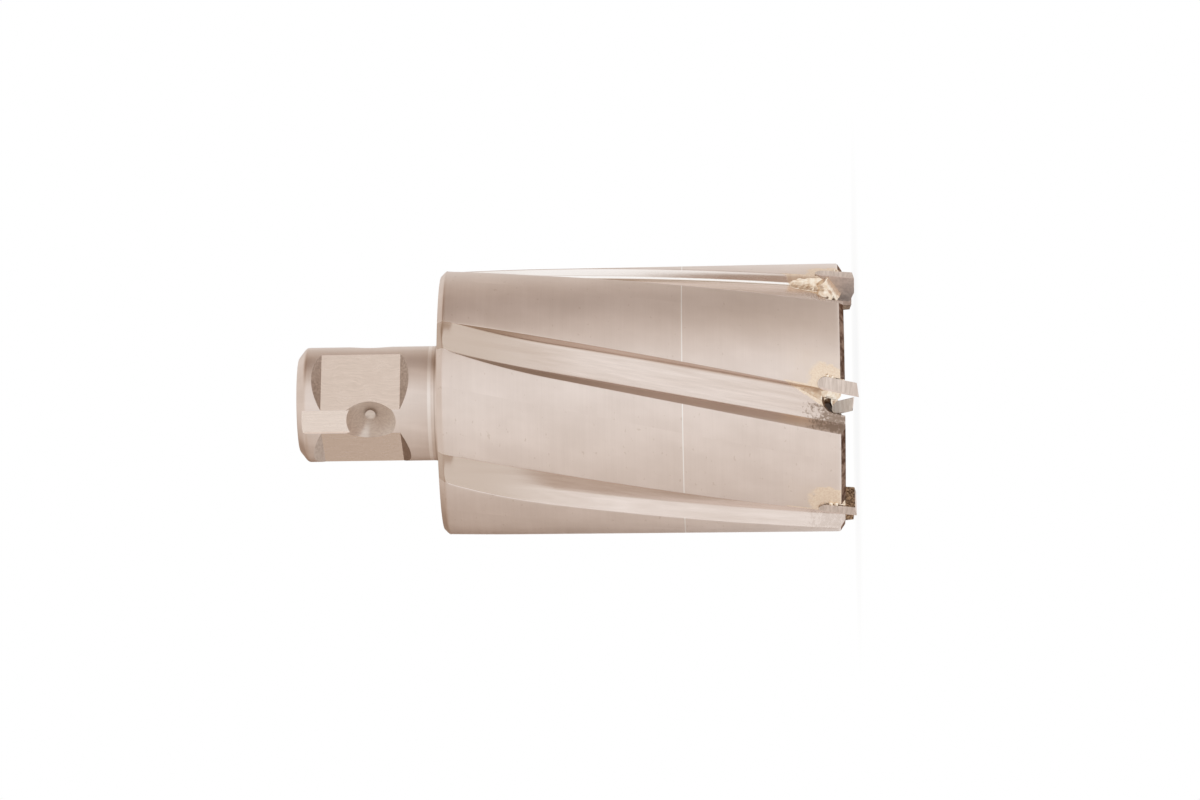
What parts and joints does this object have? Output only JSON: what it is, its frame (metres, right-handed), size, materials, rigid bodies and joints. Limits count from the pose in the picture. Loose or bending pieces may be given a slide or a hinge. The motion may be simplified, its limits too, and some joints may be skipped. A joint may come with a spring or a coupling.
{
  "type": "annular cutter",
  "caption": "Hollow annular cutter with brazed carbide teeth, shallow helical flutes and a drive shank with flats and ball-lock dimples, for magnetic drills.",
  "frame": {"origin": "on the cutter's axis, in the plane of the two lowest cutting edges, which stand on the ground", "axes": "+Z up the axis from the cutting edges to the shank's end; -Y points to the tooth that faces the viewer in the picture; +X is up in the picture"},
  "size_m": [0.0446, 0.045, 0.0928],
  "materials": {
    "tool_steel": "turned and milled steel with a fine satin grain",
    "carbide": "ground sintered carbide, dull grey",
    "braze": "bare silver braze, pale gold"
  },
  "bodies": {
    "root": {"cutter_body": "tool_steel", "carbide_tip_1": "carbide", "carbide_tip_2": "carbide", "carbide_tip_3": "carbide", "carbide_tip_4": "carbide", "carbide_tip_5": "carbide", "carbide_tip_6": "carbide", "braze_1": "braze", "braze_2": "braze", "braze_3": "braze", "braze_4": "braze", "braze_5": "braze", "braze_6": "braze"}
  },
  "joints": []
}
